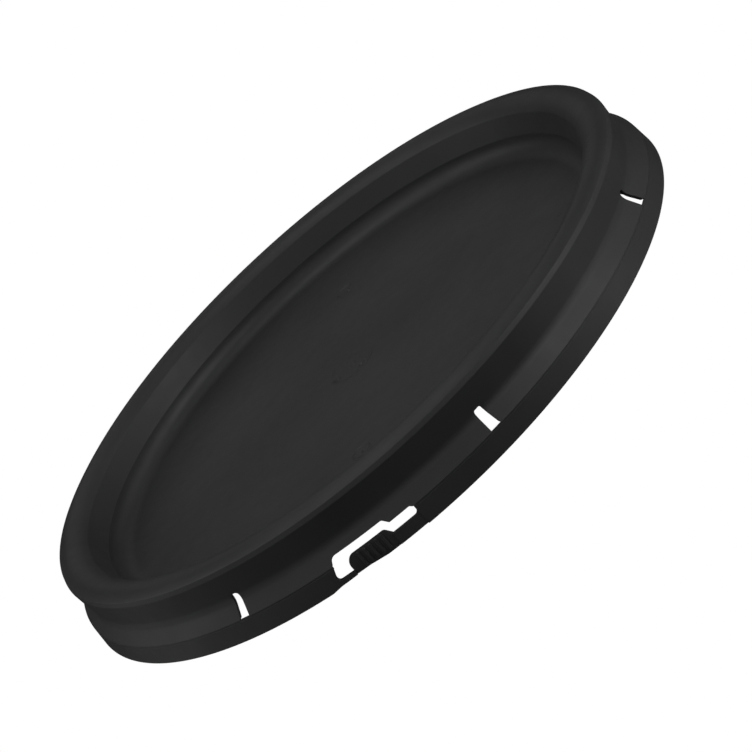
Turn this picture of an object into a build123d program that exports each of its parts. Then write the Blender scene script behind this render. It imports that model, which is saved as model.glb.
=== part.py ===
from build123d import *
import math
import os

# Press-on tear-strip lid for an open-head pail of about 20 litres, in millimetres.
# The origin is the centre of the lower edge, +Z is up through the panel, and the
# pull tab faces -Y. Sections are drawn in the XZ plane (X is the radius) and turned about Z.

# Rings, measured on the outer surface
band_radius = 156.0          # lower edge of the tear strip
flare_radius = 154.8         # where the flare leaves the tear line
neck_radius = 149.8          # where the flare turns up into the neck
shoulder_radius = 150.4      # lower edge of the shoulder's bevel
crown_outer_radius = 149.7   # its upper edge, where the crown's dome starts
crown_peak_radius = 141.5    # where the tangents at the dome's two edges cross
plug_top_radius = 135.4      # inner edge of the dome
plug_foot_radius = 132.0     # crease at the foot of the plug wall
floor_radius = 131.2         # where the wall below that crease would meet the floor
floor_split = 122.0          # between the floor and its wall

# Heights
tear_height = 8.0            # top of the tear strip
skirt_foot = 8.6             # lowest edge of the skirt, above the tear line
neck_height = 15.0
skirt_split = 18.4           # between the slotted flare and the neck wall
crown_foot = 24.6            # between the neck or plug wall and the crown
shoulder_height = 27.0
crown_outer_height = 28.8
crown_peak_height = 33.3
plug_top_height = 26.3
panel_split = 17.6           # between the plug wall and the panel's wall
plug_foot_height = 16.8
floor_height = 8.3

# Wall thicknesses
skirt_wall = 1.3
crown_wall = 2.2
panel_wall = 1.6
web_wall = 0.5
web_depth = 0.2              # how far the membrane lies below the skirt's surface
joint_gap = 0.3

# Rounded corners of the section
neck_fillet = 3.0
shoulder_fillet = 0.8
crown_outer_fillet = 0.3
crown_fillet = 10.6
plug_top_fillet = 0.3
plug_foot_fillet = 0.5
floor_fillet = 8.0

# Slots in the flare
slot_count = 3               # in each of two groups, one opposite the other
slot_start = -112.5          # angle of the first slot, in degrees
slot_pitch = 45.0
slot_foot_width = 4.6
slot_top_width = 3.4
slot_top = 17.3

# The tab's opening, along the skirt from the tab's middle and up from the lower edge
lobe_left = -19.2            # a fingertip goes in at this end
lobe_foot = 2.8
lobe_bend = 4.6              # from here the lobe's end leans in
lobe_top_left = -16.6
opening_top = 11.2
channel_right = 7.4          # the channel over the pad ends here
slope_right = 9.6            # and has come down to the narrow slot here
narrow_slot_top = 9.3
hinge_x = 20.1               # end of the narrow slot and of the tongue
lobe_fillet = 3.0
channel_fillet = 1.4
slot_end_fillet = 1.8

# Pull tab, in the same measures
pad_left = -12.2
pad_right = 8.2
pad_top_right = 6.0
pad_top = 8.4
pad_left_foot = 1.1
pad_foot = 0.3
pad_foot_start = 1.6         # the lower edge has sloped down to here
pad_recess = 0.5
pad_nose_fillet = 3.9
pad_heel_fillet = 0.8
pad_shoulder_fillet = 1.4
tongue_top = 5.5
tongue_foot = 0.3
tongue_inset = 0.2
rib_count = 5
rib_pitch = 2.7
rib_width = 1.2
rib_middle = -1.4
rib_foot = 1.5
rib_top = 7.8
bar_foot = 0.6
bar_inset = 0.2

# Lock beads, gasket and gates
bead_clearance = 2.3         # angle from a slot's middle to the end of a bead, in degrees
bead_crest_radius = 145.6
bead_foot = 10.2
bead_crest = 13.4
bead_top = 16.8
bead_root = 0.7              # how far the bead's blank reaches into the wall
bead_fillet = 0.6
gasket_inner = 141.4
gasket_outer = 146.6
gasket_foot = 26.0
gasket_fillet = 0.8
side_gate_distance = 83.0    # from the centre, in line with the pull tab
middle_gate_radius = 2.6
side_gate_radius = 1.6
gate_height = 0.4
middle_dimple_radius = 12.7
side_dimple_radius = 5.0
dimple_depth = 0.5

# Room for the cutters
FRONT = (-110.0, 40.0)       # start and span, in degrees, of the stretch that holds the tab
FAR_IN = 120.0               # radii that lie inside and outside of the rim's walls
MID_CHANNEL = 142.0
FAR_OUT = 160.0


def on_line(start, end, z):
    """Radius at height z on the line from start to end, each (radius, height)."""
    share = (z - start[1]) / (end[1] - start[1])
    return start[0] + share * (end[0] - start[0])


def shift(start, end, distance):
    """The line from start to end, moved sideways to its right by distance."""
    length = math.hypot(end[0] - start[0], end[1] - start[1])
    dx = (end[1] - start[1]) / length * distance
    dz = -(end[0] - start[0]) / length * distance
    return (start[0] + dx, start[1] + dz), (end[0] + dx, end[1] + dz)


def crossing(a, b, c, d):
    """Where the line a-b meets the line c-d."""
    det = (a[0] - b[0]) * (c[1] - d[1]) - (a[1] - b[1]) * (c[0] - d[0])
    ab = a[0] * b[1] - a[1] * b[0]
    cd = c[0] * d[1] - c[1] * d[0]
    x = (ab * (c[0] - d[0]) - (a[0] - b[0]) * cd) / det
    z = (ab * (c[1] - d[1]) - (a[1] - b[1]) * cd) / det
    return x, z


def face_of(points):
    """A face in the XZ plane from (radius, height) points."""
    return make_face(Plane.XZ * Polyline(*points, close=True))


def rounded(face, corners):
    """Fillets the face's corners nearest to each (radius, height), by its fillet size."""
    for (x, z), size in corners:
        corner = min(face.vertices(), key=lambda v: math.hypot(v.X - x, v.Z - z))
        face = fillet(corner, size)
    return face


def turned(face, start=0.0, span=360.0):
    """The face turned about Z, from one angle over a span, in degrees."""
    solid = revolve(face, Axis.Z, span)
    return Rot(0, 0, start) * solid


def single(shape):
    """The shape as one solid."""
    solids = shape.solids()
    assert len(solids) == 1, f"{len(solids)} solids where one was expected"
    return solids[0]


def region(low_r, high_r, low_z, high_z):
    """A rectangle of the section plane, to pick one part of the wall."""
    return face_of([(low_r, low_z), (high_r, low_z), (high_r, high_z), (low_r, high_z)])


def facing_prism(points, corners=()):
    """A prism over an outline seen from the front, (x, z), that reaches out from the axis to -Y."""
    face = rounded(face_of(points), corners)
    return extrude(face, FAR_OUT, dir=(0, -1, 0))


# Corners of the wall's upper surface, from the tear line over the crown to the axis
flare_foot = (flare_radius, skirt_foot)
neck = (neck_radius, neck_height)
shoulder = (shoulder_radius, shoulder_height)
crown_outer = (crown_outer_radius, crown_outer_height)
crown_peak = (crown_peak_radius, crown_peak_height)
plug_top = (plug_top_radius, plug_top_height)
plug_foot = (plug_foot_radius, plug_foot_height)
floor_corner = (floor_radius, floor_height)
floor_centre = (0.0, floor_height)

# The same walls' lower surface
inner_flare = shift(flare_foot, neck, -skirt_wall)
inner_neck = shift(neck, shoulder, -skirt_wall)
inner_dome_out = shift(crown_outer, crown_peak, -crown_wall)
inner_dome_in = shift(crown_peak, plug_top, -crown_wall)
inner_plug = shift(plug_top, plug_foot, -panel_wall)
inner_wall = shift(plug_foot, floor_corner, -panel_wall)
inner_floor = shift(floor_corner, floor_centre, -panel_wall)
flare_foot_in = (on_line(*inner_flare, skirt_foot), skirt_foot)
neck_in = crossing(*inner_flare, *inner_neck)
shoulder_in = crossing(*inner_neck, *inner_dome_out)
crown_peak_in = crossing(*inner_dome_out, *inner_dome_in)
plug_top_in = crossing(*inner_dome_in, *inner_plug)
plug_foot_in = crossing(*inner_plug, *inner_wall)
floor_corner_in = crossing(*inner_wall, *inner_floor)
floor_centre_in = (0.0, floor_height - panel_wall)


def shell_section():
    """The whole wall from the tear line to the axis, with rounded corners."""
    face = face_of([
        flare_foot, neck, shoulder, crown_outer, crown_peak, plug_top, plug_foot, floor_corner,
        floor_centre, floor_centre_in, floor_corner_in, plug_foot_in, plug_top_in, crown_peak_in,
        shoulder_in, neck_in, flare_foot_in,
    ])
    corners = [
        (crown_peak, crown_fillet), (crown_peak_in, crown_fillet - crown_wall),
        (floor_corner, floor_fillet), (floor_corner_in, floor_fillet + panel_wall),
        (neck, neck_fillet), (neck_in, neck_fillet + skirt_wall), (shoulder, shoulder_fillet),
        (crown_outer, crown_outer_fillet), (plug_top, plug_top_fillet), (plug_foot, plug_foot_fillet),
        (plug_foot_in, plug_foot_fillet + panel_wall),
    ]
    return rounded(face, corners)


def wall_between(low_r, high_r, low_z, high_z):
    """One ring of the shell's wall, cut out of its section."""
    return turned(shell_section() & region(low_r, high_r, low_z, high_z))


def band_face(outer_offset, inner_offset, low_z, high_z):
    """Section of the lower band between two depths below its outer surface."""
    foot = (band_radius, 0.0)
    low = on_line(foot, flare_foot, low_z)
    high = on_line(foot, flare_foot, high_z)
    return face_of([
        (low - outer_offset, low_z), (high - outer_offset, high_z),
        (high - inner_offset, high_z), (low - inner_offset, low_z),
    ])


def front_band(outer_offset, inner_offset, low_z, high_z):
    """The part of such a ring that faces -Y."""
    return turned(band_face(outer_offset, inner_offset, low_z, high_z), *FRONT)


def slot_angles():
    """The angle of each slot, in degrees."""
    return [slot_start + group + number * slot_pitch for group in (0.0, 180.0) for number in range(slot_count)]


def slot_cutter(angle):
    """One tapered slot with a rounded top, cut through the flare at an angle in degrees."""
    foot = slot_foot_width / 2
    top = slot_top_width / 2
    points = [
        (-foot, 0.0), (foot, 0.0), (foot, skirt_foot),
        (top, slot_top), (-top, slot_top), (-foot, skirt_foot),
    ]
    round_top = top * 0.8
    cutter = facing_prism(points, [((top, slot_top), round_top), ((-top, slot_top), round_top)])
    return Rot(0, 0, 90.0 + angle) * cutter


def opening_cutter():
    """The pull tab's opening: a wide lobe for a fingertip, a channel over the pad and a narrow slot."""
    points = [
        (lobe_left, lobe_foot), (lobe_left, lobe_bend), (lobe_top_left, opening_top),
        (channel_right, opening_top), (slope_right, narrow_slot_top),
        (hinge_x, narrow_slot_top), (hinge_x, lobe_foot),
    ]
    corners = [
        ((lobe_top_left, opening_top), lobe_fillet), ((channel_right, opening_top), channel_fillet),
        ((hinge_x, narrow_slot_top), slot_end_fillet),
    ]
    return facing_prism(points, corners)


def gates():
    """Each gate's place in line with the tab, its stub's radius and its dimple's radius."""
    return [
        (0.0, middle_gate_radius, middle_dimple_radius),
        (-side_gate_distance, side_gate_radius, side_dimple_radius),
        (side_gate_distance, side_gate_radius, side_dimple_radius),
    ]


def panel_floor():
    """The flat sunk disc, with a round dimple about each gate."""
    floor = wall_between(-1.0, floor_split, 0.0, panel_split)
    for y, _, radius in gates():
        floor -= Pos(0, y, floor_height) * Cylinder(radius, 2 * dimple_depth)
    return floor


def panel_wall_ring():
    """The hollow sweep that rises from the floor to the crease below the plug wall."""
    return wall_between(floor_split, MID_CHANNEL, 0.0, panel_split)


def gate_stubs():
    """The rounded stubs left in the dimples, where the moulding's gates were broken off."""
    stubs = []
    for y, radius, _ in gates():
        stub = Pos(0, y, floor_height - dimple_depth + gate_height / 2) * Cylinder(radius, gate_height)
        stubs.append(fillet(stub.edges().group_by(Axis.Z)[-1], gate_height * 0.6))
    return Compound(stubs)


def plug_wall():
    """The tapered wall that fits inside the pail's mouth."""
    return wall_between(FAR_IN, MID_CHANNEL, panel_split, crown_foot)


def rim_crown():
    """The dome over the channel that caps the pail's rim, with the bevelled shoulder."""
    return wall_between(FAR_IN, FAR_OUT, crown_foot, crown_peak_height)


def neck_wall():
    """The nearly upright outer wall between the flare and the crown."""
    return wall_between(MID_CHANNEL, FAR_OUT, skirt_split, crown_foot)


def skirt_flare():
    """The flared lower skirt, with its slots and the top of the tab's opening."""
    flare = wall_between(MID_CHANNEL, FAR_OUT, skirt_foot, skirt_split)
    for angle in slot_angles():
        flare -= slot_cutter(angle)
    return flare - opening_cutter()


def lock_beads():
    """Bead segments inside the neck that snap below the pail's rim and stop short of the slots."""
    low = on_line(*inner_flare, bead_foot)
    high = on_line(*inner_neck, bead_top)
    crest = (bead_crest_radius, bead_crest)
    blank = face_of([
        (low, bead_foot), crest, (high, bead_top), (high + bead_root, bead_top),
        (neck_in[0] + bead_root, neck_in[1]), (low + bead_root, bead_foot),
    ])
    face = rounded(blank, [(crest, bead_fillet)]) - shell_section()
    slots = sorted(slot_angles())
    beads = []
    for slot, following in zip(slots, slots[1:] + [slots[0] + 360.0]):
        span = following - slot - 2 * bead_clearance
        beads += turned(face, start=slot + bead_clearance, span=span).solids()
    return Compound([single(bead - opening_cutter()) for bead in beads])


def sealing_gasket():
    """The ring seal that fills the top of the channel and sits on the pail's rim."""
    blank = region(gasket_inner, gasket_outer, gasket_foot, crown_outer_height)
    corners = [((gasket_inner, gasket_foot), gasket_fillet), ((gasket_outer, gasket_foot), gasket_fillet)]
    return turned(rounded(blank, corners) - shell_section())


def tail_at(z):
    """Where the leaning end of the strip and of the opening's lobe is at height z."""
    share = (z - lobe_bend) / (opening_top - lobe_bend)
    return lobe_left + share * (lobe_top_left - lobe_left)


def tear_strip():
    """The band below the tear line, cut away where the pull tab is."""
    band = turned(band_face(0.0, skirt_wall, 0.0, tear_height))
    tail_top = tail_at(tear_height)
    points = [
        (lobe_left, 0.0), (lobe_left, lobe_bend), (tail_top, tear_height),
        (hinge_x, tear_height), (hinge_x, 0.0),
    ]
    return band - facing_prism(points)


def tail_bar():
    """The thin frangible bar that ties the strip's tail to the pull tab."""
    tip = pad_left - joint_gap
    points = [(lobe_left, bar_foot), (tip, bar_foot), (tip, lobe_foot), (lobe_left, lobe_foot)]
    return front_band(bar_inset, skirt_wall - bar_inset, 0.0, tear_height) & facing_prism(points)


def tear_web():
    """The thinned membrane on top of the strip that parts when the strip is pulled."""
    web = turned(band_face(web_depth, web_depth + web_wall, tear_height, skirt_foot - joint_gap))
    left = tail_at(tear_height)
    points = [(left, 0.0), (left, skirt_foot), (hinge_x, skirt_foot), (hinge_x, 0.0)]
    return web - facing_prism(points)


def tab_pad():
    """The grip of the pull tab, recessed between its ribs."""
    points = [
        (pad_left, pad_left_foot), (pad_left, pad_top), (pad_top_right, pad_top),
        (pad_right, tongue_top), (pad_right, pad_foot), (pad_foot_start, pad_foot),
    ]
    corners = [
        ((pad_left, pad_top), pad_nose_fillet), ((pad_left, pad_left_foot), pad_heel_fillet),
        ((pad_top_right, pad_top), pad_shoulder_fillet),
    ]
    return front_band(pad_recess, skirt_wall, 0.0, opening_top) & facing_prism(points, corners)


def tab_ribs():
    """Upright grip ribs on the outside of the pad."""
    strip = front_band(0.0, pad_recess, rib_foot, rib_top)
    ribs = []
    for number in range(rib_count):
        middle = rib_middle + (number - (rib_count - 1) / 2) * rib_pitch
        left = middle - rib_width / 2
        right = middle + rib_width / 2
        points = [(left, 0.0), (right, 0.0), (right, opening_top), (left, opening_top)]
        ribs += (strip & facing_prism(points)).solids()
    return Compound(ribs)


def tab_tongue():
    """The narrow tongue that joins the grip to the strip and bends as a living hinge."""
    tip = hinge_x - joint_gap
    points = [(pad_right, tongue_foot), (tip, tongue_foot), (tip, tongue_top), (pad_right, tongue_top)]
    return front_band(tongue_inset, skirt_wall - tongue_inset, 0.0, tear_height) & facing_prism(points)


nodes = {
    "panel_floor": single(panel_floor()),
    "panel_wall": single(panel_wall_ring()),
    "gate_stubs": gate_stubs(),
    "plug_wall": single(plug_wall()),
    "rim_crown": single(rim_crown()),
    "neck_wall": single(neck_wall()),
    "skirt_flare": single(skirt_flare()),
    "lock_beads": lock_beads(),
    "sealing_gasket": single(sealing_gasket()),
    "tear_strip": single(tear_strip()),
    "tear_web": single(tear_web()),
    "tail_bar": single(tail_bar()),
    "tab_pad": single(tab_pad()),
    "tab_ribs": tab_ribs(),
    "tab_tongue": single(tab_tongue()),
}

os.makedirs("parts", exist_ok=True)
for name, shape in nodes.items():
    shape.label = name
    export_step(shape, f"parts/{name}.step")
    print(name, round(shape.volume / 1000, 2), "cm3")
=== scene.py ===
"""Visual model of a black press-on pail lid: one moulding, its tear strip and its pull tab."""

import math

import bmesh
import bpy
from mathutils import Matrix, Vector
from mathutils.geometry import delaunay_2d_cdt


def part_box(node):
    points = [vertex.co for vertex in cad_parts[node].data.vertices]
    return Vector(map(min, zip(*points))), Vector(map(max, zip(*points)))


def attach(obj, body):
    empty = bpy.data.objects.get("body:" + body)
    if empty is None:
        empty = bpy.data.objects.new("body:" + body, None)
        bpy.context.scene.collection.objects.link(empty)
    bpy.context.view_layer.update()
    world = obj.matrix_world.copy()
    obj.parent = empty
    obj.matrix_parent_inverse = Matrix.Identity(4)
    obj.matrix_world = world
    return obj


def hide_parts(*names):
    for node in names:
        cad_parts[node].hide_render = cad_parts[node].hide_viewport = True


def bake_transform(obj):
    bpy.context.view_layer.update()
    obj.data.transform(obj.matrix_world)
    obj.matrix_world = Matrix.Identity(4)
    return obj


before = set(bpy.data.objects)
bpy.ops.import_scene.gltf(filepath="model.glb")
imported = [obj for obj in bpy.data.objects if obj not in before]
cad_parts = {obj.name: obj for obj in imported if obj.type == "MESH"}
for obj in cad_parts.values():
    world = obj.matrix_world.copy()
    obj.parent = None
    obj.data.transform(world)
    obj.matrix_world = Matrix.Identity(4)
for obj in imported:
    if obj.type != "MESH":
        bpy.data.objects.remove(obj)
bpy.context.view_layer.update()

# Lengths are in millimetres until a mesh is made. Flat outlines are (arc, height): the arc runs
# round the skirt from the middle of the pull tab, counterclockwise as seen from above.
MM = 0.001
TURN = 2 * math.pi
COLUMNS = 288
ARC_STEP = math.radians(10)  # longest step round a fillet
TAB_ANGLE = -math.pi / 2
REFERENCE_RADIUS = 155.3
LAP = REFERENCE_RADIUS * TURN
WELD = 0.002                 # vertices closer than this are merged
BEVEL_STEPS = 2


def foot(node):
    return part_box(node)[0].z / MM


def top(node):
    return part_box(node)[1].z / MM


def reach(node):
    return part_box(node)[1].x / MM


# Corners of the wall's upper surface, as (radius, height)
tear_height = top("tear_strip")
skirt_foot = foot("skirt_flare")
floor_height = top("panel_floor")
band_radius = reach("tear_strip")
flare_foot = Vector((reach("skirt_flare"), skirt_foot))
neck = Vector((149.8, 15.0))
shoulder = Vector((150.4, 27.0))
crown_outer = Vector((149.7, 28.8))
crown_peak = Vector((141.5, 33.3))      # where the tangents at the dome's two edges cross
plug_top = Vector((135.4, 26.3))
plug_foot = Vector((132.0, 16.8))
floor_corner = Vector((131.2, floor_height))
floor_edge = Vector((reach("panel_floor"), floor_height))
neck_fillet = 5.5            # a softer bend than the CAD's
shoulder_fillet = 0.8
crease_fillet = 0.3
crown_fillet = 10.6
plug_foot_fillet = 0.5
floor_fillet = 8.0
skirt_wall = 1.3
crown_wall = 2.2
panel_wall = 1.6
skirt_top = 19.0             # the flat-cut skirt meets the turned rim here

# Slots and the pull tab's opening
slot_angles = (-157.5, -112.5, -22.5, 22.5, 67.5, 157.5)    # in degrees from the tab
slot_half_foot = 2.3
slot_half_top = 1.7
slot_top = 17.3
slot_foot_round = 0.5
lobe_left = -19.2
lobe_foot = 2.8
lobe_bend = 4.6
lobe_top_left = -16.6
opening_top = 11.2
channel_right = 7.4
slope_right = 9.6
narrow_slot_top = 9.3
hinge_arc = 20.1
channel_top_fillet = 1.4
lobe_top_fillet = 3.2
slot_top_fillet = 1.4
seam_fillet = 0.1            # where an opening meets the tear line
edge_round = 0.22            # softened edges of the moulding

# Pull tab
pad_left = -12.2
pad_right = 8.2
pad_top_right = 6.0
pad_top = 8.4
pad_left_foot = 1.1
pad_foot = 0.3
pad_recess = 0.5
tongue_top = 5.5
tongue_foot = 0.3
tongue_inset = 0.15
rib_count = 5
rib_pitch = 2.7
rib_width = 1.2
rib_middle = -1.4
rib_foot = 1.3
rib_top = 7.9
rib_root = 0.3               # how far the ribs reach into the pad
strip_edge_round = 0.16
bar_foot = 0.7
web_lap = (0.25, 0.12)       # how far the membrane laps the strip and the skirt
web_depths = (0.15, 0.75)

# Lock beads and gasket
gasket_width = 5.2
gasket_gap = 0.02            # between the gasket and the channel's roof
bead_crest_radius = 145.7
bead_foot = 10.2
bead_crest = 13.4
bead_top = 16.8
bead_clearance = math.radians(2.0)      # from a slot's middle to the end of a bead
bead_run_out = math.radians(0.6)

# Gates in the panel, in line with the pull tab
side_gate_distance = 83.0
middle_dimple_radius = 12.7
side_dimple_radius = 5.0
dimple_depth = 0.5
dimple_edge = 0.25           # width of a dimple's sloping edge, as a share of its radius
gate_marks = [               # bumps and pits in the dimples: x, y, radius, height
    (0.0, 0.0, 2.6, 0.3), (4.4, 5.4, 3.6, 0.2), (-5.9, 9.0, 3.0, 0.2), (1.5, -8.8, 2.2, 0.25),
    (4.2, -5.8, 1.5, -0.95), (6.8, -4.6, 1.4, -0.8), (-8.7, -3.2, 2.6, -0.7),
    (-1.0, 83.0, 1.6, 0.3), (2.0, 81.3, 1.4, -0.95), (-4.4, 82.4, 0.8, -0.5),
    (-2.4, -85.6, 1.8, 0.25), (0.7, -83.3, 1.4, -0.95),
]


# ---------------------------------------------------------------- outlines and sections

def outline_of(points, fillets):
    """Points along a polyline with tangent arcs at its inner corners."""
    points = [Vector(p) for p in points]
    path = [points[0]]
    for i, radius in enumerate(fillets, start=1):
        into = (points[i] - points[i - 1]).normalized()
        out = (points[i + 1] - points[i]).normalized()
        turn = math.atan2(into.cross(out), into.dot(out))
        if radius == 0.0:
            path.append(points[i])
            continue
        start = points[i] - into * radius * math.tan(abs(turn) / 2)
        reach_out = Vector((into.y, -into.x)) * math.copysign(radius, turn)
        centre = start - reach_out
        steps = max(2, math.ceil(abs(turn) / ARC_STEP))
        for k in range(steps + 1):
            cos, sin = math.cos(turn * k / steps), math.sin(turn * k / steps)
            spoke = Vector((reach_out.x * cos - reach_out.y * sin, reach_out.x * sin + reach_out.y * cos))
            path.append(centre + spoke)
    path.append(points[-1])
    return path


def closed_outline(corner_list):
    """A closed outline from (arc, height, fillet) corners, starting in the middle of its last edge."""
    points = [Vector(c[:2]) for c in corner_list]
    start = (points[-1] + points[0]) / 2
    return outline_of([start, *points, start], [c[2] for c in corner_list])[:-1]


def radius_at(path, z):
    """Radius of a (radius, height) path at height z, on the stretch that rises from the skirt's foot."""
    for a, b in zip(path, path[1:]):
        if a.y <= z + 1e-6 and b.y >= z - 1e-6 and b.y > a.y:
            return a.x + (b.x - a.x) * max(0.0, min(1.0, (z - a.y) / (b.y - a.y)))
    return path[0].x


def shifted(a, b, distance):
    """The line from a to b, moved to its left by a distance."""
    along = (b - a).normalized()
    aside = Vector((-along.y, along.x)) * distance
    return a + aside, b + aside


def crossing(first, second):
    """Where two lines meet."""
    (a, b), (c, d) = first, second
    return a + (b - a) * ((c - a).cross(d - c) / (b - a).cross(d - c))


def lower_corners():
    """Corners of the wall's lower surface, which leaves out the shoulder's bevel."""
    level = (Vector((0.0, skirt_foot)), Vector((1.0, skirt_foot)))
    lines = [
        level, shifted(flare_foot, neck, skirt_wall), shifted(neck, shoulder, skirt_wall),
        shifted(crown_outer, crown_peak, crown_wall), shifted(crown_peak, plug_top, crown_wall),
        shifted(plug_top, plug_foot, panel_wall), shifted(plug_foot, floor_corner, panel_wall),
        shifted(floor_corner, floor_edge, panel_wall),
    ]
    return [crossing(a, b) for a, b in zip(lines, lines[1:])] + [lines[-1][1]]


outer_path = outline_of(
    [flare_foot, neck, shoulder, crown_outer, crown_peak, plug_top, plug_foot, floor_corner, floor_edge],
    [neck_fillet, shoulder_fillet, crease_fillet, crown_fillet, crease_fillet, plug_foot_fillet,
     floor_fillet])
inner_path = outline_of(
    lower_corners(),
    [neck_fillet + skirt_wall, 0.0, crown_fillet - crown_wall, 0.0, plug_foot_fillet + panel_wall,
     floor_fillet + panel_wall])


def smooth(share):
    """A soft step from 0 to 1."""
    share = max(0.0, min(1.0, share))
    return share * share * (3 - 2 * share)


def bead_height(arc, z):
    """How far the lock beads stand in from the skirt's inner surface."""
    profile = min((z - bead_foot) / (bead_crest - bead_foot), (bead_top - z) / (bead_top - bead_crest))
    if profile <= 0.0:
        return 0.0
    off_slot = min(abs(arc / REFERENCE_RADIUS - math.radians(angle)) for angle in slot_angles)
    crest_height = radius_at(inner_path, bead_crest) - bead_crest_radius
    run_out = smooth((off_slot - bead_clearance) / bead_run_out)
    return crest_height * math.sin(math.pi / 2 * profile) * run_out


def skirt_radius(arc, depth, z):
    """Radius inside the skirt, where depth is 0 on its outer surface and skirt_wall on its inner one."""
    outer = radius_at(outer_path, z)
    inner = radius_at(inner_path, z) - bead_height(arc, z)
    return outer + (inner - outer) * depth / skirt_wall


def band_radius_at(arc, depth, z):
    """Radius inside the lower band, at a depth below its outer surface."""
    share = z / skirt_foot
    return band_radius + (flare_foot.x - band_radius) * share - depth


def wrapped(arc, z, radius):
    """A point of the lid, in metres, from a place on the unrolled skirt."""
    angle = TAB_ANGLE + arc / REFERENCE_RADIUS
    return Vector((math.cos(angle) * radius, math.sin(angle) * radius, z)) * MM


# ---------------------------------------------------------------- mesh making

def cut(bm, place, normal):
    geometry = bm.verts[:] + bm.edges[:] + bm.faces[:]
    bmesh.ops.bisect_plane(bm, geom=geometry, dist=1e-4, plane_co=place, plane_no=normal)


def is_open(edge_points, open_heights, open_arcs):
    """True where all the points lie on one of the plate's open borders."""
    for height in open_heights:
        if all(abs(p.z - height) < 1e-3 for p in edge_points):
            return True
    for arc in open_arcs:
        if all(abs(p.x - arc) < 1e-3 for p in edge_points):
            return True
    return False


def plate(outline, depths, rounding, rows=(), open_heights=(), open_arcs=(), back_round=True):
    """A flat plate over an (arc, height) outline, with softened edges, cut into columns and rows."""
    bm = bmesh.new()
    front = [bm.verts.new((p.x, depths[0], p.y)) for p in outline]
    back = [bm.verts.new((p.x, depths[1], p.y)) for p in outline]
    bm.faces.new(front)
    bm.faces.new(back[::-1])
    rims = []
    for i, _ in enumerate(outline):
        j = (i + 1) % len(outline)
        bm.faces.new((front[i], back[i], back[j], front[j]))
        sides = (front, back) if back_round else (front,)
        for ring in sides:
            if not is_open((ring[i].co, ring[j].co), open_heights, open_arcs):
                rims.append(bm.edges.get((ring[i], ring[j])))
    bmesh.ops.recalc_face_normals(bm, faces=bm.faces)
    bmesh.ops.bevel(bm, geom=rims, offset=rounding, offset_type="OFFSET", segments=BEVEL_STEPS,
                    profile=0.5, affect="EDGES", clamp_overlap=True)
    pitch = LAP / COLUMNS
    low = min(p.x for p in outline)
    high = max(p.x for p in outline)
    for k in range(math.ceil(low / pitch), math.floor(high / pitch) + 1):
        cut(bm, (k * pitch, 0, 0), (1, 0, 0))
    for z in rows:
        cut(bm, (0, 0, z), (0, 0, 1))
    opened = [f for f in bm.faces if is_open([v.co for v in f.verts], open_heights, open_arcs)]
    bmesh.ops.delete(bm, geom=opened, context="FACES")
    return bm


def wrap(bm, surface):
    """Bends a flat plate round the lid."""
    for vert in bm.verts:
        arc, depth, z = vert.co
        vert.co = wrapped(arc, z, surface(arc, depth, z))
    return bm


def add_turned(bm, path, closed=False):
    """Turns a (radius, height) path about Z, with the same columns as the plates."""
    rings = []
    for p in path:
        ring = []
        for k in range(COLUMNS):
            ring.append(bm.verts.new(wrapped(k * LAP / COLUMNS, p.y, p.x)))
        rings.append(ring)
    pairs = list(zip(rings, rings[1:]))
    if closed:
        pairs.append((rings[-1], rings[0]))
    for a, b in pairs:
        for k in range(COLUMNS):
            j = (k + 1) % COLUMNS
            bm.faces.new((a[k], a[j], b[j], b[k]))


def piece(name, bm, body, slot, nodes):
    """Makes a shaded object of the mesh that stands for CAD nodes and rides on a body."""
    bmesh.ops.remove_doubles(bm, verts=bm.verts, dist=WELD * MM)
    bmesh.ops.recalc_face_normals(bm, faces=bm.faces)
    mesh = bpy.data.meshes.new(name)
    bm.to_mesh(mesh)
    bm.free()
    mesh.shade_smooth()
    obj = bpy.data.objects.new(name, mesh)
    bpy.context.scene.collection.objects.link(obj)
    normals = obj.modifiers.new("normals", "WEIGHTED_NORMAL")
    normals.weight = 60
    mesh.materials.append(MATERIALS[slot])
    if nodes:
        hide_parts(*nodes)
    if body:
        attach(obj, body)
    return obj


# ---------------------------------------------------------------- materials

def new_material(name):
    material = bpy.data.materials.new(name)
    material.use_nodes = True
    tree = material.node_tree
    shader = tree.nodes["Principled BSDF"]
    place = tree.nodes.new("ShaderNodeTexCoord").outputs["Object"]
    return material, tree, shader, place


def noise(tree, place, scale, detail=3.0, roughness=0.5):
    node = tree.nodes.new("ShaderNodeTexNoise")
    node.inputs["Scale"].default_value = scale
    node.inputs["Detail"].default_value = detail
    node.inputs["Roughness"].default_value = roughness
    tree.links.new(place, node.inputs["Vector"])
    return node.outputs["Fac"]


def ramp(tree, value, low, high, start=0.3, end=0.7):
    """Maps a noise value between start and end to a number or colour between low and high."""
    node = tree.nodes.new("ShaderNodeValToRGB")
    node.color_ramp.elements[0].position = start
    node.color_ramp.elements[1].position = end
    for element, level in zip(node.color_ramp.elements, (low, high)):
        element.color = (level, level, level, 1.0) if isinstance(level, float) else (*level, 1.0)
    tree.links.new(value, node.inputs["Fac"])
    return node.outputs["Color"]


def bump(tree, height, distance, strength=1.0, below=None):
    node = tree.nodes.new("ShaderNodeBump")
    node.inputs["Strength"].default_value = strength
    node.inputs["Distance"].default_value = distance
    tree.links.new(height, node.inputs["Height"])
    if below:
        tree.links.new(below, node.inputs["Normal"])
    return node.outputs["Normal"]


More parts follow.
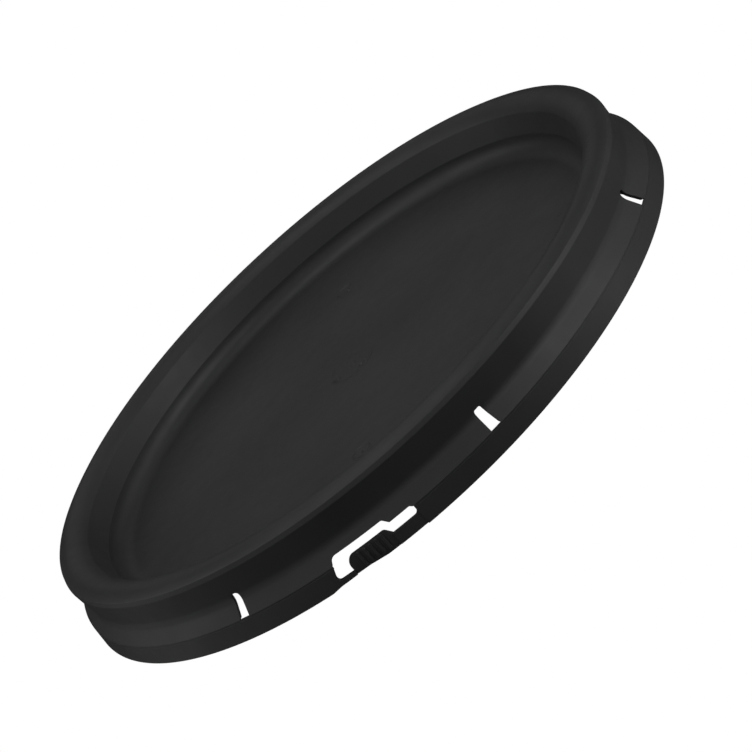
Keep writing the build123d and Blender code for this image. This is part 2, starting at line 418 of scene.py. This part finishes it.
def moulded_hdpe(name):
    """Black high-density polyethylene: satin, faintly mottled, with a fine skin from the mould."""
    material, tree, shader, place = new_material(name)
    mottle = noise(tree, place, 14.0, 4.0)
    tree.links.new(ramp(tree, mottle, (0.024, 0.024, 0.0245), (0.034, 0.034, 0.035)),
                   shader.inputs["Base Color"])
    tree.links.new(ramp(tree, noise(tree, place, 60.0, 6.0, 0.6), 0.43, 0.54), shader.inputs["Roughness"])
    shader.inputs["IOR"].default_value = 1.4
    waves = bump(tree, noise(tree, place, 45.0, 2.0), 0.00015, 0.5)
    skin = bump(tree, noise(tree, place, 1400.0, 2.0), 0.00001, 0.5, below=waves)
    tree.links.new(skin, shader.inputs["Normal"])
    return material


def seal_rubber(name):
    """Matt black rubber with a fine, dusty grain."""
    material, tree, shader, place = new_material(name)
    tree.links.new(ramp(tree, noise(tree, place, 90.0), (0.012, 0.012, 0.012), (0.02, 0.02, 0.019)),
                   shader.inputs["Base Color"])
    tree.links.new(ramp(tree, noise(tree, place, 500.0), 0.72, 0.88), shader.inputs["Roughness"])
    tree.links.new(bump(tree, noise(tree, place, 2500.0), 0.00002), shader.inputs["Normal"])
    return material


MATERIALS = {
    "lid_plastic": moulded_hdpe("black_hdpe"),
    "strip_plastic": moulded_hdpe("black_hdpe_strip"),
    "gasket_rubber": seal_rubber("seal_rubber"),
}


# ---------------------------------------------------------------- the lid's pieces

def tail_at(z):
    """Where the leaning end of the strip and of the opening's lobe is at height z."""
    share = (z - lobe_bend) / (opening_top - lobe_bend)
    return lobe_left + share * (lobe_top_left - lobe_left)


def skirt_outline():
    """The slotted skirt's outline, from seam to seam along its foot and back along skirt_top."""
    slot_arcs = [math.radians(angle) * REFERENCE_RADIUS for angle in slot_angles]
    opening = [
        (tail_at(skirt_foot), skirt_foot, seam_fillet), (lobe_top_left, opening_top, lobe_top_fillet),
        (channel_right, opening_top, channel_top_fillet), (slope_right, narrow_slot_top, 0.4),
        (hinge_arc - 1.3, narrow_slot_top, 1.2), (hinge_arc - 0.3, skirt_foot, seam_fillet),
    ]
    path = []
    for arc in slot_arcs:
        if arc > 0 and opening:
            path += opening
            opening = None
        path += [
            (arc - slot_half_foot, skirt_foot, slot_foot_round),
            (arc - slot_half_top, slot_top, slot_top_fillet),
            (arc + slot_half_top, slot_top, slot_top_fillet),
            (arc + slot_half_foot, skirt_foot, slot_foot_round),
        ]
    points = [(-LAP / 2, skirt_foot), *[p[:2] for p in path], (LAP / 2, skirt_foot)]
    outline = outline_of(points, [p[2] for p in path])
    return outline + [Vector((LAP / 2, skirt_top)), Vector((-LAP / 2, skirt_top))]


def floor_point_height(x, y):
    """Height of the panel's floor, with the dimples and broken stubs of its three gates."""
    z = floor_height
    for gate_y, radius in ((0.0, middle_dimple_radius), (side_gate_distance, side_dimple_radius),
                           (-side_gate_distance, side_dimple_radius)):
        away = math.hypot(x, y - gate_y)
        z -= dimple_depth * smooth((radius - away) / (dimple_edge * radius))
    for mark_x, mark_y, radius, height in gate_marks:
        away = math.hypot(x - mark_x, y - mark_y)
        z += height * smooth(1.0 - away / radius)
    return z


def add_floor(bm):
    """The panel's floor: coarse rings over its plain part and fine ones round each gate."""
    spots = [(0.0, middle_dimple_radius + 3.0, 0.5, 96)]
    for side in (-1, 1):
        spots.append((side * side_gate_distance, side_dimple_radius + 2.0, 0.35, 48))
    points = [Vector((math.cos(TURN * k / COLUMNS), math.sin(TURN * k / COLUMNS))) * floor_edge.x
              for k in range(COLUMNS)]

    def clear(p):
        return all((p - Vector((0, y))).length > limit + 1.5 for y, limit, _, _ in spots)

    for radius in range(20, int(floor_edge.x) - 2, 6):
        count = max(36, int(radius * 1.2))
        ring = [Vector((math.cos(TURN * k / count), math.sin(TURN * k / count))) * radius
                for k in range(count)]
        points += [p for p in ring if clear(p)]
    for y, limit, step, count in spots:
        points.append(Vector((0.0, y)))
        for i in range(1, int(limit / step) + 1):
            for k in range(count):
                angle = TURN * (k + 0.5 * (i % 2)) / count
                points.append(Vector((math.cos(angle), math.sin(angle))) * i * step + Vector((0, y)))
    places, _, triangles = delaunay_2d_cdt(points, [], [], 0, 1e-5)[:3]
    verts = [bm.verts.new(Vector((p.x, p.y, floor_point_height(p.x, p.y))) * MM) for p in places]
    for triangle in triangles:
        bm.faces.new([verts[i] for i in triangle])


def add_underside(bm, z):
    """The flat lower face of the panel's floor."""
    radii = [floor_edge.x, 90.0, 60.0, 30.0, 8.0]
    add_turned(bm, [Vector((r, z)) for r in radii])
    centre = bm.verts.new((0, 0, z * MM))
    ring = [wrapped(k * LAP / COLUMNS, z, radii[-1]) for k in range(COLUMNS)]
    rim = [bm.verts.new(p) for p in ring]
    for k in range(COLUMNS):
        bm.faces.new((rim[k], rim[(k + 1) % COLUMNS], centre))


def lid_moulding():
    """Everything above the tear line: skirt, rim and sunk panel, in one moulding."""
    path_heights = [p.y for p in outer_path + inner_path if skirt_foot + 0.5 < p.y < skirt_top - 0.3]
    bead_rows = [bead_foot, 10.8, 11.6, 12.5, bead_crest, 14.3, 15.2, 16.0, bead_top]
    rows = []
    for z in sorted(path_heights + bead_rows):
        if not rows or z - rows[-1] > 0.12:
            rows.append(z)
    bm = plate(skirt_outline(), (0.0, skirt_wall), edge_round, rows=rows,
               open_heights=(skirt_top,), open_arcs=(-LAP / 2, LAP / 2))
    wrap(bm, skirt_radius)

    def above(path):
        start = Vector((radius_at(path, skirt_top), skirt_top))
        crossed = next(i for i, p in enumerate(path) if p.y > skirt_top)
        return [start, *path[crossed:]]

    add_turned(bm, above(outer_path))
    add_turned(bm, above(inner_path))
    add_floor(bm)
    add_underside(bm, inner_path[-1].y)
    nodes = ("panel_floor", "panel_wall", "gate_stubs", "plug_wall", "rim_crown",
             "neck_wall", "skirt_flare", "lock_beads")
    return piece("lid_moulding", bm, "lid_shell", "lid_plastic", nodes)


def sealing_gasket():
    """The ring seal in the channel's domed roof."""
    low = foot("sealing_gasket")
    outer = reach("sealing_gasket")
    inner = outer - gasket_width
    roof = [p for p in inner_path if inner < p.x < outer and p.y > low]
    section = [(inner, roof[-1].y - 0.3, 0.0), (inner, low, 0.8), (outer, low, 0.8),
               (outer, roof[0].y - 0.3, 0.0), *[(p.x, p.y - gasket_gap, 0.0) for p in roof]]
    bm = bmesh.new()
    add_turned(bm, closed_outline(section), closed=True)
    return piece("sealing_gasket_ring", bm, "lid_shell", "gasket_rubber", ("sealing_gasket",))


def tear_strip():
    """The lower band with the frangible bar at its tail, which it shares a moulding with."""
    tail = LAP + lobe_left
    bar_end = LAP + pad_left + 0.25
    outline = closed_outline([
        (hinge_arc, 0.0, 0.4), (tail - 5.0, 0.0, 8.0), (tail - 0.5, bar_foot, 5.0),
        (bar_end, bar_foot + 0.3, 0.2), (bar_end, lobe_foot, 0.2), (tail, lobe_foot, 1.3),
        (tail, lobe_bend, 2.5), (LAP + tail_at(tear_height), tear_height, 0.1),
        (hinge_arc, tear_height, 0.1), (hinge_arc, tongue_top + 0.3, 0.2),
    ])
    bm = plate(outline, (0.0, skirt_wall), strip_edge_round)
    wrap(bm, band_radius_at)
    return piece("tear_strip_band", bm, "tear_strip", "strip_plastic", ("tear_strip", "tail_bar"))


def tear_web():
    """The thinned membrane between the strip and the skirt."""
    tail = LAP + tail_at(skirt_foot)
    low = tear_height - web_lap[0]
    high = skirt_foot + web_lap[1]
    outline = closed_outline([
        (hinge_arc, low, 0.0), (tail, low, 0.0), (tail, high, 0.0), (hinge_arc, high, 0.0),
    ])
    bm = plate(outline, web_depths, 0.05)
    wrap(bm, band_radius_at)
    return piece("tear_membrane", bm, "tear_strip", "strip_plastic", ("tear_web",))


def tab_pad():
    """The grip of the pull tab."""
    outline = closed_outline([
        (pad_left, pad_left_foot, 0.6), (-6.0, pad_left_foot, 6.0), (2.0, pad_foot, 6.0),
        (pad_right, pad_foot, 0.3), (pad_right, tongue_top, 0.6), (pad_top_right, pad_top, 1.6),
        (pad_left, pad_top, 3.9),
    ])
    bm = plate(outline, (pad_recess, skirt_wall), 0.25)
    wrap(bm, band_radius_at)
    return piece("tab_grip_pad", bm, "pull_tab", "strip_plastic", ("tab_pad",))


def tab_ribs():
    """The upright grip ribs on the pad."""
    whole = bmesh.new()
    for number in range(rib_count):
        middle = rib_middle + (number - (rib_count - 1) / 2) * rib_pitch
        left, right = middle - rib_width / 2, middle + rib_width / 2
        outline = closed_outline([(left, rib_foot, 0.3), (right, rib_foot, 0.3), (right, rib_top, 0.3),
                                  (left, rib_top, 0.3)])
        bm = plate(outline, (0.0, pad_recess + rib_root), 0.2, back_round=False)
        wrap(bm, band_radius_at)
        rib = bpy.data.meshes.new("rib")
        bm.to_mesh(rib)
        bm.free()
        whole.from_mesh(rib)
        bpy.data.meshes.remove(rib)
    return piece("tab_grip_ribs", whole, "pull_tab", "strip_plastic", ("tab_ribs",))


def tab_tongue():
    """The living hinge between the strip and the grip, with its lengthwise edges split in three."""
    root = hinge_arc + 0.3
    outline = closed_outline([
        (pad_right - 0.5, tongue_foot, 0.2), (root, tongue_foot, 0.2), (root, tongue_top + 1.9, 0.1),
        (hinge_arc, tongue_top + 1.9, 0.1), (hinge_arc - 0.15, tongue_top, 1.7),
        (pad_right - 0.5, tongue_top, 0.2),
    ])
    bm = plate(outline, (tongue_inset, skirt_wall - tongue_inset), strip_edge_round)
    lengthwise = [e for e in bm.edges if abs(e.verts[0].co.x - e.verts[1].co.x) > 0.8]
    bmesh.ops.subdivide_edges(bm, edges=lengthwise, cuts=2)
    wrap(bm, band_radius_at)
    tongue = piece("tab_living_hinge", bm, None, "strip_plastic", ("tab_tongue",))
    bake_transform(tongue)
    return tongue


# ---------------------------------------------------------------- stage, light and camera

def add_object(name, data):
    obj = bpy.data.objects.new(name, data)
    bpy.context.scene.collection.objects.link(obj)
    return obj


def glowing_white(name):
    """Plain white that gives its own light and takes none."""
    material, _, shader, _ = new_material(name)
    shader.inputs["Base Color"].default_value = (0.0, 0.0, 0.0, 1.0)
    shader.inputs["Roughness"].default_value = 1.0
    shader.inputs["Specular IOR Level"].default_value = 0.0
    shader.inputs["Emission Color"].default_value = (1.0, 1.0, 1.0, 1.0)
    shader.inputs["Emission Strength"].default_value = 1.0
    return material


def stage_piece(name, bm):
    """A part of the stage that the camera sees, and that neither lights nor shades the lid."""
    mesh = bpy.data.meshes.new(name)
    bm.to_mesh(mesh)
    bm.free()
    mesh.materials.append(glowing_white("pale_" + name))
    obj = add_object(name, mesh)
    obj.visible_diffuse = False
    obj.visible_glossy = False
    obj.visible_shadow = False
    return obj


def stage():
    """A white floor just below the lid, and a white dome over it. The floor hides views from below."""
    bm = bmesh.new()
    bmesh.ops.create_circle(bm, cap_ends=True, segments=96, radius=11.0)
    floor = stage_piece("floor", bm)
    floor.location.z = -0.0003
    bm = bmesh.new()
    bmesh.ops.create_uvsphere(bm, u_segments=64, v_segments=32, radius=10.9)
    bmesh.ops.delete(bm, geom=[v for v in bm.verts if v.co.z < -0.01], context="VERTS")
    dome = stage_piece("backdrop", bm)


def softbox(name, azimuth, elevation, brightness, distance=1.4, size=0.9):
    """A square soft light that looks at the lid; azimuth 0 is in front of the pull tab, 90 at +X."""
    light = bpy.data.lights.new(name, "AREA")
    light.shape = "SQUARE"
    light.size = size
    light.energy = brightness * math.pi * size ** 2
    obj = add_object(name, light)
    a, e = math.radians(azimuth), math.radians(elevation)
    back = Vector((math.sin(a) * math.cos(e), -math.cos(a) * math.cos(e), math.sin(e)))
    obj.location = back * distance + Vector((0.0, 0.0, 0.015))
    obj.rotation_mode = "QUATERNION"
    obj.rotation_quaternion = back.to_track_quat("Z", "Y")


def lights():
    """A ring of low lights and one of higher ones, both strongest to the right and weak in front."""
    world = bpy.data.worlds.new("studio")
    bpy.context.scene.world = world
    world.use_nodes = True
    world.node_tree.nodes["Background"].inputs["Color"].default_value = (1.0, 1.0, 1.0, 1.0)
    world.node_tree.nodes["Background"].inputs["Strength"].default_value = 0.01
    softbox("low_left", -91.0, -6.0, 0.4)
    softbox("low_front_left", -51.0, -6.0, 0.4)
    softbox("low_right", 80.0, -6.0, 1.1)
    softbox("low_back_right", 120.0, -6.0, 0.25)
    softbox("left", -96.0, 32.0, 1.1)
    softbox("front_left", -46.0, 32.0, 0.6)
    softbox("front", -6.0, 32.0, 0.5)
    softbox("front_right", 34.0, 32.0, 0.5)
    softbox("right", 74.0, 32.0, 2.4)
    softbox("back_right", 124.0, 32.0, 0.6)
    softbox("back", 194.0, 32.0, 0.2)
    softbox("high_left", -76.0, 68.0, 0.9)
    softbox("top", 194.0, 75.0, 0.7, distance=0.6, size=0.4)


def camera():
    """The camera stands a little left of the pull tab, 20 degrees up, rolled by 43 degrees."""
    azimuth = math.radians(14.3)
    elevation = math.radians(20.27)
    roll = math.radians(43.075)
    distance = 0.858
    right = Vector((math.cos(azimuth), math.sin(azimuth), 0.0))
    back = Vector((math.sin(azimuth) * math.cos(elevation), -math.cos(azimuth) * math.cos(elevation),
                   math.sin(elevation)))
    up = back.cross(right)
    rolled_right = right * math.cos(roll) - up * math.sin(roll)
    rolled_up = right * math.sin(roll) + up * math.cos(roll)
    aim = rolled_right * 0.0049 + rolled_up * 0.0004
    data = bpy.data.cameras.new("camera")
    data.lens = 96.13
    data.sensor_width = 36.0
    obj = add_object("camera", data)
    place = back * distance
    z_axis = (place - aim).normalized()
    x_axis = rolled_up.cross(z_axis).normalized()
    y_axis = z_axis.cross(x_axis)
    matrix = obj.matrix_world.copy()
    for column, axis in enumerate((x_axis, y_axis, z_axis, place)):
        for row in range(3):
            matrix[row][column] = axis[row]
    obj.matrix_world = matrix
    bpy.context.scene.camera = obj


camera()
stage()
lights()
lid_moulding()
sealing_gasket()
tear_strip()
tear_web()
tab_pad()
tab_ribs()
tab_tongue()
bpy.context.scene.view_settings.view_transform = "Standard"
